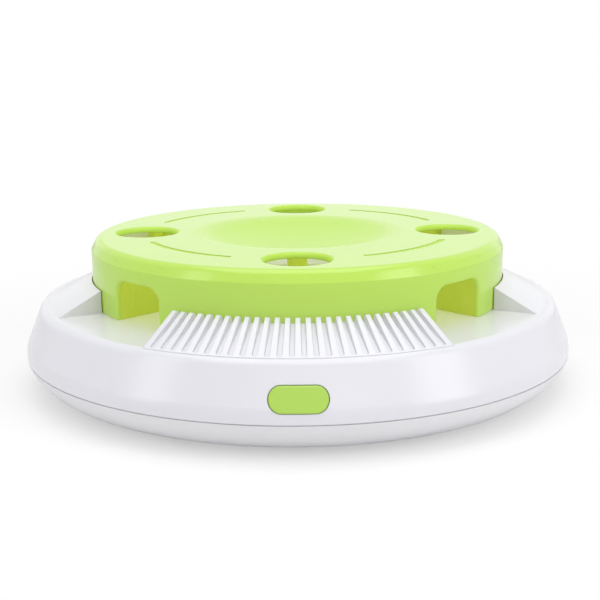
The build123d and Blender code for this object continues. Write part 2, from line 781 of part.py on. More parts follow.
# Switch, plunger, board and what is soldered on it
with BuildPart() as power_switch:
    with BuildSketch(Plane.XZ.offset(board_distance)):
        with Locations((0, button_z)):
            Rectangle(switch_size, switch_size)
            Circle(plunger_radius + running_gap, mode=Mode.SUBTRACT)
    extrude(amount=switch_height)
power_switch.part.label = "power_switch"
export_step(power_switch.part, "parts/power_switch.step")

with BuildPart() as switch_plunger:
    with BuildSketch(Plane.XZ.offset(stem_end - plunger_length)):
        with Locations((0, button_z)):
            Circle(plunger_radius)
    extrude(amount=plunger_length)
switch_plunger.part.label = "switch_plunger"
export_step(switch_plunger.part, "parts/switch_plunger.step")

with BuildPart() as circuit_board:
    with BuildSketch(Plane.XZ.offset(board_distance)):
        with Locations((0, button_z)):
            Rectangle(board_width, board_height)
            with GridLocations(board_post_spacing, 0, 2, 1):
                Circle(board_screw_radius + moulding_gap, mode=Mode.SUBTRACT)
    extrude(amount=-board_thickness)
circuit_board.part.label = "circuit_board"
export_step(circuit_board.part, "parts/circuit_board.step")

with BuildPart() as board_screws:
    with BuildSketch(Plane.XZ.offset(board_distance)):
        with Locations((0, button_z)):
            with GridLocations(board_post_spacing, 0, 2, 1):
                Circle(board_screw_head_radius)
    extrude(amount=board_screw_head_height)
    with BuildSketch(Plane.XZ.offset(board_distance)):
        with Locations((0, button_z)):
            with GridLocations(board_post_spacing, 0, 2, 1):
                Circle(board_screw_radius)
    extrude(amount=-board_thickness - board_screw_bite)
board_screws.part.label = "board_screws"
export_step(board_screws.part, "parts/board_screws.step")

with BuildPart() as control_chip:
    with BuildSketch(Plane.XZ.offset(board_distance - board_thickness)):
        with Locations((chip_offset, button_z)):
            Rectangle(chip_length, chip_width)
    extrude(amount=-chip_height)
    chamfer(control_chip.edges().filter_by(Axis.Y, reverse=True).group_by(Axis.Y)[-1], chip_height / 5)
control_chip.part.label = "control_chip"
export_step(control_chip.part, "parts/control_chip.step")

with BuildPart() as capacitor:
    with BuildSketch(Plane.XZ.offset(board_distance - board_thickness)):
        with Locations((-capacitor_offset, button_z)):
            Circle(capacitor_radius)
    extrude(amount=-capacitor_length)
    chamfer(capacitor.edges().group_by(Axis.Y)[-1], capacitor_radius / 5)
capacitor.part.label = "capacitor"
export_step(capacitor.part, "parts/capacitor.step")

# Batteries and their contacts
cell_z = track_top_z + cell_radius + cell_gap
cell_pitch = 2 * cell_radius + cell_gap
cell_rows = [bay_distance + (row - (cell_count - 1) / 2) * cell_pitch for row in range(cell_count)]
cell_ways = [1 if row % 2 == 0 else -1 for row in range(cell_count)]
contact_face = bay_half_length - contact_thickness

with BuildPart() as battery_cells:
    for y, way in zip(cell_rows, cell_ways):
        # The raised end touches its contact and the spring fills the other end
        with BuildSketch(Plane.YZ.offset(way * (contact_face - cell_button_height))):
            with Locations((y, cell_z)):
                Circle(cell_radius)
        extrude(amount=-way * (cell_length - cell_button_height))
        with BuildSketch(Plane.YZ.offset(way * contact_face)):
            with Locations((y, cell_z)):
                Circle(cell_button_radius)
        extrude(amount=-way * cell_button_height)
battery_cells.part.label = "battery_cells"
export_step(battery_cells.part, "parts/battery_cells.step")

with BuildPart() as battery_contacts:
    for end in (-1, 1):
        # One plate links two neighbouring cells and a single plate takes the third
        with BuildSketch(Plane.YZ.offset(end * bay_half_length)):
            with Locations((bay_distance - end * cell_pitch / 2, cell_z)):
                Rectangle(cell_pitch + contact_size, contact_size)
            with Locations((bay_distance + end * cell_pitch, cell_z)):
                Rectangle(contact_size, contact_size)
        extrude(amount=-end * contact_thickness)
battery_contacts.part.label = "battery_contacts"
export_step(battery_contacts.part, "parts/battery_contacts.step")

with BuildPart() as battery_springs:
    for y, way in zip(cell_rows, cell_ways):
        coil_start = -way * (contact_face - spring_wire / 2)
        coil = Helix(
            pitch=(spring_length - spring_wire) / spring_turns,
            height=spring_length - spring_wire,
            radius=spring_radius,
            center=(coil_start, y, cell_z),
            direction=(way, 0, 0),
            cone_angle=-spring_taper,
        )
        with BuildSketch(Plane(origin=coil @ 0, z_dir=coil % 0)):
            RegularPolygon(spring_wire / 2, 4)
        sweep(path=coil, is_frenet=True)
battery_springs.part.label = "battery_springs"
export_step(battery_springs.part, "parts/battery_springs.step")

with BuildPart() as battery_door:
    door_length = door_outer_y - door_inner_y
    door_middle_y = (door_outer_y + door_inner_y) / 2
    with BuildSketch(Plane.XY.offset(casing_z)):
        with Locations((0, door_middle_y)):
            Rectangle(2 * (throat_half_width - door_gap), door_length)
    extrude(amount=door_thickness)
    with BuildSketch(Plane.XY.offset(casing_z + door_lip_thickness + door_gap / 2)):
        with Locations((0, door_middle_y)):
            Rectangle(2 * door_half_width, door_length)
    extrude(amount=door_thickness - door_lip_thickness - door_gap / 2)
    with BuildSketch(Plane.XY.offset(casing_z)):
        with Locations((0, door_outer_y - door_end_margin)):
            with GridLocations(0, 2 * door_grip_width, 1, door_grip_count):
                SlotOverall(door_grip_length, door_grip_width)
    extrude(amount=door_grip_depth, mode=Mode.SUBTRACT)
battery_door.part.label = "battery_door"
export_step(battery_door.part, "parts/battery_door.step")

# Gear train, laid out from the middle of the toy to the motor
output_place = (0, 0)
second_distance = (output_teeth + pinion_teeth) * gear_module / 2
wheel_distance = (wheel_teeth + pinion_teeth) * gear_module / 2
second_place = polar(second_distance, second_direction)
first_step = polar(wheel_distance, first_direction)
first_place = (second_place[0] + first_step[0], second_place[1] + first_step[1])
motor_step = polar(wheel_distance, motor_direction)
motor_place = (first_place[0] + motor_step[0], first_place[1] + motor_step[1])
half_pinion_tooth = 180 / pinion_teeth

with BuildPart() as output_gear:
    with BuildSketch(Plane.XY.offset(output_z)):
        Polygon(*gear_outline(output_teeth, second_direction), align=None)
    extrude(amount=gear_width)
    with BuildSketch(Plane.XY.offset(output_z)):
        Circle(output_hub_radius)
    extrude(amount=lid_z - moulding_gap - output_z)
    with BuildSketch(Plane.XY.offset(output_z)):
        Circle(output_shaft_radius + press_gap)
    extrude(amount=2 * gear_width, mode=Mode.SUBTRACT)
output_gear.part.label = "output_gear"
export_step(output_gear.part, "parts/output_gear.step")


def compound_gear(place, base_z, wheel_tooth_direction, pinion_tooth_direction):
    """Wheel with a pinion on top, bored to run on its pin."""
    with BuildPart() as gear:
        with BuildSketch(Plane.XY.offset(base_z)):
            with Locations(place):
                Polygon(*gear_outline(wheel_teeth, wheel_tooth_direction), align=None)
        extrude(amount=gear_width)
        with BuildSketch(Plane.XY.offset(base_z + gear_width)):
            with Locations(place):
                Circle((pinion_teeth / 2 - dedendum_factor) * gear_module)
        extrude(amount=gear_layer_gap)
        with BuildSketch(Plane.XY.offset(base_z + gear_width + gear_layer_gap)):
            with Locations(place):
                Polygon(*gear_outline(pinion_teeth, pinion_tooth_direction), align=None)
        extrude(amount=gear_width)
        with BuildSketch(Plane.XY.offset(base_z)):
            with Locations(place):
                Circle(gear_pin_radius + running_gap)
        extrude(amount=2 * gear_width + gear_layer_gap, mode=Mode.SUBTRACT)
    return gear.part


second_pinion_direction = second_direction + 180 + half_pinion_tooth
second_gear = compound_gear(second_place, middle_z, first_direction, second_pinion_direction)
second_gear.label = "second_gear"
export_step(second_gear, "parts/second_gear.step")

first_pinion_direction = first_direction + 180 + half_pinion_tooth
first_gear = compound_gear(first_place, wheel_z, motor_direction, first_pinion_direction)
first_gear.label = "first_gear"
export_step(first_gear, "parts/first_gear.step")

with BuildPart() as motor_pinion:
    with BuildSketch(Plane.XY.offset(wheel_z)):
        with Locations(motor_place):
            Polygon(*gear_outline(pinion_teeth, motor_direction + 180 + half_pinion_tooth), align=None)
            Circle(motor_shaft_radius + press_gap, mode=Mode.SUBTRACT)
    extrude(amount=gear_width)
motor_pinion.part.label = "motor_pinion"
export_step(motor_pinion.part, "parts/motor_pinion.step")

with BuildPart() as motor_shaft:
    with BuildSketch(Plane.XY.offset(gearbox_z - 3)):
        with Locations(motor_place):
            Circle(motor_shaft_radius)
    extrude(amount=wheel_z + gear_width - gearbox_z + 3)
motor_shaft.part.label = "motor_shaft"
export_step(motor_shaft.part, "parts/motor_shaft.step")

with BuildPart() as output_shaft:
    with BuildSketch(Plane.XY.offset(gear_floor_z - 1 + moulding_gap)):
        Circle(output_shaft_radius)
    extrude(amount=turntable_z + turntable_hub_height / 2 - gear_floor_z + 1 - moulding_gap)
output_shaft.part.label = "output_shaft"
export_step(output_shaft.part, "parts/output_shaft.step")

with BuildPart() as gear_pins:
    with BuildSketch(Plane.XY.offset(gear_floor_z - gearbox_plate / 2)):
        with Locations(second_place, first_place):
            Circle(gear_pin_radius)
    extrude(amount=lid_z - gear_floor_z + gearbox_plate)
gear_pins.part.label = "gear_pins"
export_step(gear_pins.part, "parts/gear_pins.step")

# Gearbox: a tray that holds the motor below and the train above, closed by a lid
outline_circles = [(place, gearbox_column_radius) for place in gearbox_columns]
wheel_tip = (wheel_teeth / 2 + addendum_factor) * gear_module
output_tip = (output_teeth / 2 + addendum_factor) * gear_module
outline_circles.append((output_place, output_tip + 1 + gearbox_wall))
outline_circles.append((second_place, wheel_tip + 1 + gearbox_wall))
outline_circles.append((first_place, wheel_tip + 1 + gearbox_wall))
outline_circles.append((motor_place, motor_radius + motor_cup_wall + 1))

with BuildSketch() as gearbox_outline:
    for place, radius in outline_circles:
        with Locations(place):
            Circle(radius)
    make_hull()


def motor_section(margin):
    """Round motor section with two flats, grown by a margin."""
    with BuildSketch() as section:
        Circle(motor_radius + margin)
        Rectangle(2 * (motor_radius + margin), motor_flat + 2 * margin, mode=Mode.INTERSECT)
    return section.sketch


with BuildPart() as gearbox_frame:
    with BuildSketch(Plane.XY.offset(gearbox_z)):
        add(gearbox_outline.sketch)
    extrude(amount=lid_z - gearbox_z)
    with BuildSketch(Plane.XY.offset(gear_floor_z)):
        add(gearbox_outline.sketch)
        offset(amount=-gearbox_wall, mode=Mode.REPLACE)
    extrude(amount=lid_z - gear_floor_z, mode=Mode.SUBTRACT)
    # Screw columns
    with BuildSketch(Plane.XY.offset(gear_floor_z)):
        with Locations(*gearbox_columns):
            Circle(gearbox_column_radius)
    extrude(amount=lid_z - gear_floor_z)
    # Bosses under the gears
    with BuildSketch(Plane.XY.offset(gear_floor_z)):
        with Locations(first_place):
            Circle(gear_boss_radius)
    extrude(amount=wheel_z - moulding_gap - gear_floor_z)
    with BuildSketch(Plane.XY.offset(gear_floor_z)):
        with Locations(second_place):
            Circle(gear_boss_radius)
    extrude(amount=middle_z - moulding_gap - gear_floor_z)
    with BuildSketch(Plane.XY.offset(gear_floor_z)):
        Circle(2 * output_shaft_radius)
    extrude(amount=output_z - moulding_gap - gear_floor_z)
    # Cup around the motor
    with BuildSketch(Plane.XY.offset(gearbox_z)):
        with Locations(motor_place):
            add(motor_section(motor_cup_wall + moulding_gap))
            add(motor_section(moulding_gap), mode=Mode.SUBTRACT)
    extrude(amount=-motor_cup_depth)
    # Bores
    with BuildSketch(Plane.XY.offset(gear_floor_z - 1)):
        Circle(output_shaft_radius + running_gap)
    extrude(amount=output_z - gear_floor_z + 1, mode=Mode.SUBTRACT)
    with BuildSketch(Plane.XY.offset(gear_floor_z - gearbox_plate / 2)):
        with Locations(second_place, first_place):
            Circle(gear_pin_radius + press_gap)
    extrude(amount=output_z - gear_floor_z, mode=Mode.SUBTRACT)
    with BuildSketch(Plane.XY.offset(gearbox_z)):
        with Locations(motor_place):
            Circle(motor_nose_radius + press_gap)
        with Locations(*gearbox_columns):
            Circle(gearbox_screw_radius + moulding_gap)
    extrude(amount=lid_z - gearbox_z, mode=Mode.SUBTRACT)
gearbox_frame.part.label = "gearbox_frame"
export_step(gearbox_frame.part, "parts/gearbox_frame.step")

with BuildPart() as gearbox_lid:
    with BuildSketch(Plane.XY.offset(lid_z)):
        add(gearbox_outline.sketch)
        Circle(bush_radius + press_gap, mode=Mode.SUBTRACT)
        with Locations(*gearbox_columns):
            Circle(gearbox_screw_radius + moulding_gap, mode=Mode.SUBTRACT)
    extrude(amount=gearbox_plate)
    with BuildSketch(Plane.XY.offset(lid_z)):
        with Locations(second_place, first_place):
            Circle(gear_pin_radius + press_gap)
    extrude(amount=gearbox_plate / 2, mode=Mode.SUBTRACT)
gearbox_lid.part.label = "gearbox_lid"
export_step(gearbox_lid.part, "parts/gearbox_lid.step")

with BuildPart() as gearbox_screws:
    with BuildSketch(Plane.XY.offset(lid_top_z)):
        with Locations(*gearbox_columns):
            Circle(gearbox_screw_head_radius)
    extrude(amount=gearbox_screw_head_height)
    with BuildSketch(Plane.XY.offset(lid_top_z)):
        with Locations(*gearbox_columns):
            Circle(gearbox_screw_radius)
    extrude(amount=gearbox_z - gearbox_screw_bite - lid_top_z)
gearbox_screws.part.label = "gearbox_screws"
export_step(gearbox_screws.part, "parts/gearbox_screws.step")

with BuildPart() as output_bush:
    with BuildSketch(Plane.XY.offset(lid_z)):
        Circle(bush_radius)
        Circle(output_shaft_radius + running_gap, mode=Mode.SUBTRACT)
    extrude(amount=gearbox_plate)
    with BuildSketch(Plane.XY.offset(lid_top_z)):
        Circle(bush_flange_radius)
        Circle(output_shaft_radius + running_gap, mode=Mode.SUBTRACT)
    extrude(amount=bush_flange_height)
output_bush.part.label = "output_bush"
export_step(output_bush.part, "parts/output_bush.step")

with BuildPart() as motor:
    with BuildSketch(Plane.XY.offset(gearbox_z)):
        with Locations(motor_place):
            add(motor_section(0))
    extrude(amount=-motor_length)
    with BuildSketch(Plane.XY.offset(gearbox_z)):
        with Locations(motor_place):
            Circle(motor_nose_radius)
    extrude(amount=motor_nose_height)
    with BuildSketch(Plane.XY.offset(gearbox_z + motor_nose_height)):
        with Locations(motor_place):
            Circle(motor_shaft_radius + running_gap)
    extrude(amount=-motor_nose_height - 3, mode=Mode.SUBTRACT)
motor.part.label = "motor"
export_step(motor.part, "parts/motor.step")

# Turntable: a rimmed disc with a paddle that carries the lure
paddle_place = polar(lure_ring, lure_direction)

with BuildPart() as turntable:
    with BuildSketch(Plane.XY.offset(turntable_z)):
        Circle(turntable_radius)
    extrude(amount=turntable_plate)
    with BuildSketch(Plane.XY.offset(turntable_z)):
        Circle(turntable_radius / 2)
        with Locations(paddle_place):
            Circle(paddle_radius)
        make_hull()
    extrude(amount=turntable_plate)
    with BuildSketch(Plane.XY.offset(turntable_top_z)):
        Circle(turntable_radius)
        Circle(turntable_radius - turntable_rim_width, mode=Mode.SUBTRACT)
    extrude(amount=turntable_rim_height)
    with BuildSketch(Plane.XY.offset(turntable_z)):
        Circle(turntable_hub_radius)
    extrude(amount=turntable_hub_height)
    with BuildSketch(Plane.XY.offset(turntable_top_z)):
        with Locations(paddle_place):
            Circle(lure_peg_radius)
    extrude(amount=lure_peg_height)
    with BuildSketch(Plane.XY.offset(turntable_z)):
        Circle(output_shaft_radius + press_gap)
    extrude(amount=turntable_hub_height / 2 + moulding_gap, mode=Mode.SUBTRACT)
    with BuildSketch(Plane.XY.offset(hub_top_z)):
        Circle(centre_pin_radius + running_gap)
    extrude(amount=-centre_pin_length - moulding_gap, mode=Mode.SUBTRACT)
turntable.part.label = "turntable"
export_step(turntable.part, "parts/turntable.step")

# Lure: a ball pushed on the paddle's peg, flat where it sits
lure_z = turntable_top_z + lure_radius - lure_flat
lure_start = -degrees(asin((lure_radius - lure_flat) / lure_radius))
lure_angles = [lure_start + (90 - lure_start) * step / lure_steps for step in range(lure_steps + 1)]

with BuildPart() as lure_ball:
    with BuildSketch(Plane(origin=(*paddle_place, lure_z), x_dir=(1, 0, 0), z_dir=(0, -1, 0))):
        with BuildLine():
            lure_points = [polar(lure_radius, angle) for angle in lure_angles]
            Polyline(*lure_points, (0, lure_flat - lure_radius), close=True)
        make_face()
    revolve(axis=Axis((*paddle_place, 0), (0, 0, 1)))
    with BuildSketch(Plane.XY.offset(turntable_top_z)):
        with Locations(paddle_place):
            Circle(lure_peg_radius + press_gap)
    extrude(amount=lure_peg_height + moulding_gap, mode=Mode.SUBTRACT)
lure_ball.part.label = "lure_ball"
export_step(lure_ball.part, "parts/lure_ball.step")
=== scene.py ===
# %% [markdown]
# An electronic cat toy: a lime cover with paw holes and arches over a spinning lure, on a white casing with
# ramps. The CAD model gives the solids, and only the screws and the lure are made again here. So this lesson
# is about moulded plastic: how a few kinds of polish, grain and light make plain solids look like a real toy.

# %% Load the frame
import math

import bpy
import numpy as np
from mathutils import Euler, Matrix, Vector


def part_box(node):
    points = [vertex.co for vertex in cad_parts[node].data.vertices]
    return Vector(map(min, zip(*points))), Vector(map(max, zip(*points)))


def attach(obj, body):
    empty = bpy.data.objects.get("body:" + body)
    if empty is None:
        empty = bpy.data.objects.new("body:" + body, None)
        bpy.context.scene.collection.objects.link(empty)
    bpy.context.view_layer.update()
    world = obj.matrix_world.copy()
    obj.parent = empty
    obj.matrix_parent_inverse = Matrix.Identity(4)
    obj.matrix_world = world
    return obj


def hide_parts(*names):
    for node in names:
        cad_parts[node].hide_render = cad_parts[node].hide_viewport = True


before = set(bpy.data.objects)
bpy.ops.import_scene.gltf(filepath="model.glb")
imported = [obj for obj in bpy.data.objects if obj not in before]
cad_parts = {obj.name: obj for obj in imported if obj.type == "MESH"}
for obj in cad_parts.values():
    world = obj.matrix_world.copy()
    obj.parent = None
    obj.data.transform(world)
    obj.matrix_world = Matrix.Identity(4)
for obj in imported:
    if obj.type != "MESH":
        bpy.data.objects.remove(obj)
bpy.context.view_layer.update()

# %% [markdown]
# The camera stands in front of the toy and looks 13 degrees down at it, from about 0.6 m, with a lens of
# 66.5 mm. Close cameras make near things large, so distance and lens are set together. The toy's right side
# stands half a degree high in the picture, so the camera is rolled by as much about the way it looks.

# %% Camera
camera_distance = 0.6064461
camera_pitch = 0.2253
target_height = 0.0404
lens_mm = 66.52
sensor_mm = 36.0
camera_roll = -0.0088
sideways_shift = 0.0039
upward_shift = -0.0022


def add_object(name, data):
    """Makes an object for a camera, a lamp or a mesh and puts it in the scene."""
    made = bpy.data.objects.new(name, data)
    bpy.context.scene.collection.objects.link(made)
    return made


camera_data = bpy.data.cameras.new("studio_camera")
camera_data.sensor_width = sensor_mm
camera_data.lens = lens_mm
camera_data.shift_x = sideways_shift
camera_data.shift_y = upward_shift
camera_data.clip_start = 0.01
camera_data.clip_end = 50.0
camera = add_object("studio_camera", camera_data)
camera.location = (
    0.0,
    -camera_distance * math.cos(camera_pitch),
    target_height + camera_distance * math.sin(camera_pitch),
)
level_view = Euler((math.pi / 2 - camera_pitch, 0.0, 0.0)).to_matrix()
camera.rotation_euler = (level_view @ Matrix.Rotation(camera_roll, 3, "Z")).to_euler()
bpy.context.scene.camera = camera
bpy.context.scene.view_settings.view_transform = "Standard"
print("camera at", tuple(round(value, 4) for value in camera.location))

# %% [markdown]
# Materials are node trees. A small helper adds a node, sets its inputs and returns it, so that each material
# reads as a short list of what it is made of.


# %% Helpers for node trees
def add_node(tree, kind, values=None, **settings):
    """Adds a node of that kind to the tree, with its settings and the values of its inputs."""
    node = tree.nodes.new(kind)
    for name, value in settings.items():
        setattr(node, name, value)
    for name, value in (values or {}).items():
        node.inputs[name].default_value = value
    return node


def new_material(name):
    """Makes an empty material with its Principled shader wired to the output, and returns all three."""
    material = bpy.data.materials.new(name)
    material.use_nodes = True
    tree = material.node_tree
    tree.nodes.clear()
    shader = add_node(tree, "ShaderNodeBsdfPrincipled")
    output = add_node(tree, "ShaderNodeOutputMaterial")
    tree.links.new(shader.outputs["BSDF"], output.inputs["Surface"])
    return material, tree, shader


def new_group(name, inputs, outputs):
    """Makes an empty shader node group and returns it with its two ends. Inputs are (name, kind, default),
    outputs are (name, kind)."""
    group = bpy.data.node_groups.new(name, "ShaderNodeTree")
    for socket_name, socket_kind, default in inputs:
        socket = group.interface.new_socket(name=socket_name, in_out="INPUT", socket_type=socket_kind)
        socket.default_value = default
    for socket_name, socket_kind in outputs:
        group.interface.new_socket(name=socket_name, in_out="OUTPUT", socket_type=socket_kind)
    start = add_node(group, "NodeGroupInput")
    end = add_node(group, "NodeGroupOutput")
    return group, start, end


def use_group(tree, group, values):
    """Places a node group in a tree, with the values that differ from its defaults, and returns the node."""
    return add_node(tree, "ShaderNodeGroup", values, node_tree=group)


print("node helpers ready")

# %% [markdown]
# A moulded surface is never quite flat or evenly shiny. The steel mould leaves a grain of some tenths of a
# millimetre, the cooling plastic sinks in slow waves of some centimetres, the colour drifts a little, and no
# edge is sharp: a Bevel node rounds the shading of every edge by 0.6 millimetres. One node group makes all
# four. Its defaults suit a smooth plastic, and each material gives only the values in which it differs.

# %% Node group of the moulded surface
darkest_drift = 0.98
grain_on_roughness = 0.06
wave_height = 0.0006
grain_height = 0.00004
bevel_samples = 6

moulded_group, group_in, group_out = new_group(
    "moulded_surface",
    [
        ("Color", "NodeSocketColor", (0.8, 0.8, 0.8, 1.0)),
        ("Drift", "NodeSocketFloat", 0.04),
        ("Roughness", "NodeSocketFloat", 0.3),
        ("Grain Scale", "NodeSocketFloat", 1800.0),
        ("Grain", "NodeSocketFloat", 0.1),
        ("Wave", "NodeSocketFloat", 0.1),
        ("Edge", "NodeSocketFloat", 0.0006),
    ],
    [("Color", "NodeSocketColor"), ("Roughness", "NodeSocketFloat"), ("Normal", "NodeSocketVector")],
)
place = add_node(moulded_group, "ShaderNodeTexCoord")
grain = add_node(moulded_group, "ShaderNodeTexNoise", {"Detail": 3.0, "Roughness": 0.6})
wave = add_node(moulded_group, "ShaderNodeTexNoise", {"Scale": 26.0, "Detail": 1.0, "Roughness": 0.4})
drift = add_node(moulded_group, "ShaderNodeTexNoise", {"Scale": 9.0, "Detail": 2.0, "Roughness": 0.5})
links = moulded_group.links
for texture in (grain, wave, drift):
    links.new(place.outputs["Object"], texture.inputs["Vector"])
links.new(group_in.outputs["Grain Scale"], grain.inputs["Scale"])

darker = add_node(moulded_group, "ShaderNodeMath", operation="MULTIPLY_ADD")
links.new(drift.outputs["Fac"], darker.inputs[0])
links.new(group_in.outputs["Drift"], darker.inputs[1])
darker.inputs[2].default_value = darkest_drift
shade = add_node(moulded_group, "ShaderNodeMix", data_type="RGBA", blend_type="MULTIPLY")
shade.inputs["Factor"].default_value = 1.0
links.new(group_in.outputs["Color"], shade.inputs["A"])
links.new(darker.outputs["Value"], shade.inputs["B"])
links.new(shade.outputs["Result"], group_out.inputs["Color"])

uneven = add_node(moulded_group, "ShaderNodeMath", operation="MULTIPLY_ADD")
links.new(grain.outputs["Fac"], uneven.inputs[0])
uneven.inputs[1].default_value = grain_on_roughness
links.new(group_in.outputs["Roughness"], uneven.inputs[2])
links.new(uneven.outputs["Value"], group_out.inputs["Roughness"])

soft_edge = add_node(moulded_group, "ShaderNodeBevel", samples=bevel_samples)
links.new(group_in.outputs["Edge"], soft_edge.inputs["Radius"])
slow_bump = add_node(moulded_group, "ShaderNodeBump", {"Distance": wave_height})
links.new(soft_edge.outputs["Normal"], slow_bump.inputs["Normal"])
links.new(group_in.outputs["Wave"], slow_bump.inputs["Strength"])
links.new(wave.outputs["Fac"], slow_bump.inputs["Height"])
fine_bump = add_node(moulded_group, "ShaderNodeBump", {"Distance": grain_height})
links.new(group_in.outputs["Grain"], fine_bump.inputs["Strength"])
links.new(grain.outputs["Fac"], fine_bump.inputs["Height"])
links.new(slow_bump.outputs["Normal"], fine_bump.inputs["Normal"])
links.new(fine_bump.outputs["Normal"], group_out.inputs["Normal"])
print("moulded surface group has", len(moulded_group.nodes), "nodes")


# %% Plastics from the moulded surface
def moulded_plastic(name, color, roughness, grain, other_values=None, **sockets):
    """Plastic of one colour. Other values are inputs of the moulded surface, and sockets go on the shader."""
    material, tree, shader = new_material(name)
    values = {"Color": (*color, 1.0), "Roughness": roughness, "Grain": grain, **(other_values or {})}
    surface = use_group(tree, moulded_group, values)
    tree.links.new(surface.outputs["Color"], shader.inputs["Base Color"])
    tree.links.new(surface.outputs["Roughness"], shader.inputs["Roughness"])
    tree.links.new(surface.outputs["Normal"], shader.inputs["Normal"])
    for socket, value in sockets.items():
        shader.inputs[socket.replace("_", " ")].default_value = value
    return material


white = (0.74, 0.74, 0.785)
lime_plastic = moulded_plastic("lime_plastic", (0.49, 0.74, 0.1), roughness=0.15, grain=0.06, IOR=1.5)
white_plastic = moulded_plastic("white_plastic", white, roughness=0.2, grain=0.1, IOR=1.5)
comb_plastic = moulded_plastic("comb_plastic", white, roughness=0.2, grain=0.1, IOR=1.5)
base_plastic = moulded_plastic("base_plastic", (0.75, 0.74, 0.765), roughness=0.42, grain=0.3, IOR=1.48)
button_plastic = moulded_plastic("button_plastic", (0.41, 0.635, 0.09), roughness=0.3, grain=0.15, IOR=1.5)
black_plastic = moulded_plastic("black_plastic", (0.018, 0.018, 0.02), roughness=0.45, grain=0.4, IOR=1.5)
gear_plastic = moulded_plastic("gear_plastic", (0.72, 0.69, 0.58), roughness=0.38, grain=0.2, IOR=1.5)
print("plastics ready, from", lime_plastic.name, "to", gear_plastic.name)

# %% [markdown]
# The lime plastic is thin and lets light through, so the chamber under the cover and its tunnels glow. A
# Transparent shader tints what passes. Light Path shows it to the rays that look for a lamp and to a share of
# the rays that carry light from surface to surface, but not to the camera's, so the cover stays solid to the
# eye. The thin white ribs of the comb pass light in the same way, which keeps the slots between them pale.


# %% Light through thin plastic
def let_light_through(material, tint, bounce_share):
    """Lets the lamps' light pass through the surfaces, tinted, and a share of the light between surfaces."""
    tree = material.node_tree
    shader = tree.nodes["Principled BSDF"]
    passing = add_node(tree, "ShaderNodeBsdfTransparent", {"Color": (*tint, 1.0)})
    rays = add_node(tree, "ShaderNodeLightPath")
    amount = add_node(tree, "ShaderNodeMath", operation="MULTIPLY_ADD")
    amount.inputs[1].default_value = bounce_share
    blend = add_node(tree, "ShaderNodeMixShader")
    tree.links.new(rays.outputs["Is Diffuse Ray"], amount.inputs[0])
    tree.links.new(rays.outputs["Is Shadow Ray"], amount.inputs[2])
    tree.links.new(amount.outputs["Value"], blend.inputs["Fac"])
    tree.links.new(shader.outputs["BSDF"], blend.inputs[1])
    tree.links.new(passing.outputs["BSDF"], blend.inputs[2])
    tree.links.new(blend.outputs["Shader"], tree.nodes["Material Output"].inputs["Surface"])


let_light_through(lime_plastic, tint=(0.95, 0.97, 0.69), bounce_share=0.75)
let_light_through(comb_plastic, tint=(0.96, 0.96, 0.97), bounce_share=0.8)
print("light passes through", lime_plastic.name, "and", comb_plastic.name)

# %% [markdown]
# The cover is polished on its level ring and its shoulder. The four fine grooves and the lips of the paw
# holes lie just below the ring, where no polishing tool reaches, so they are satin; their deeper lime is
# painted shade in these hollows.
# The dish in the middle is satin too: a rough surface mirrors less at a low angle, so it stays a full lime
# where the ring turns pale. The inner walls get a painted glow: their colour is painted a yellower lime,
# which stands in for the light that has come through the plastic, yellower than the light on its outside.
# Masks from the height and from the distance to the middle find all these places. Each mask fades between two
# distances in metres, where it is 0 and where it is 1.

# %% Where a point of the cover lies
cover_low, cover_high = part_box("top_cover")
cover_radius = (cover_high.x - cover_low.x) / 2
cover_tree = lime_plastic.node_tree
place = add_node(cover_tree, "ShaderNodeTexCoord")
split = add_node(cover_tree, "ShaderNodeSeparateXYZ")
flat = add_node(cover_tree, "ShaderNodeCombineXYZ")
radius = add_node(cover_tree, "ShaderNodeVectorMath", operation="LENGTH")
cover_tree.links.new(place.outputs["Object"], split.inputs["Vector"])
cover_tree.links.new(split.outputs["X"], flat.inputs["X"])
cover_tree.links.new(split.outputs["Y"], flat.inputs["Y"])
cover_tree.links.new(flat.outputs["Vector"], radius.inputs[0])
print("cover radius and top in metres:", round(cover_radius, 4), round(cover_high.z, 4))


# %% Masks of the cover
groove_depths = (0.0001, 0.0003)
ring_inner_edge = (0.0475, 0.047)
ring_outer_edge = (0.0105, 0.011)
dish_reach = (0.06, 0.042)
plate_depths = (0.006, 0.008)
wall_depths = (0.0004, 0.0026)


def fade_between(value, none_at, full_at):
    """Mask that rises from 0 to 1 as the value goes from one limit to the other."""
    ramp = add_node(cover_tree, "ShaderNodeMapRange", {"From Min": none_at, "From Max": full_at})
    cover_tree.links.new(value, ramp.inputs["Value"])
    return ramp.outputs["Result"]


def both(first, second):
    """Product of two masks."""
    product = add_node(cover_tree, "ShaderNodeMath", operation="MULTIPLY")
    cover_tree.links.new(first, product.inputs[0])
    cover_tree.links.new(second, product.inputs[1])
    return product.outputs["Value"]


def below_top(none_at, full_at):
    """Mask by the depth below the cover's top, from the depth where it is 0 to the depth where it is 1."""
    return fade_between(split.outputs["Z"], cover_high.z - none_at, cover_high.z - full_at)


def inside_rim(none_at, full_at):
    """Mask by the depth in from the cover's rim, from the depth where it is 0 to the depth where it is 1."""
    return fade_between(radius.outputs["Value"], cover_radius - none_at, cover_radius - full_at)


on_ring = both(inside_rim(*ring_inner_edge), inside_rim(*ring_outer_edge))
satin_and_shade_ring = both(below_top(*groove_depths), on_ring)
dish = fade_between(radius.outputs["Value"], *dish_reach)
painted_glow_walls = both(below_top(*plate_depths), inside_rim(*wall_depths))
print("masks for the grooves and lips, the dish and the inner walls are ready")
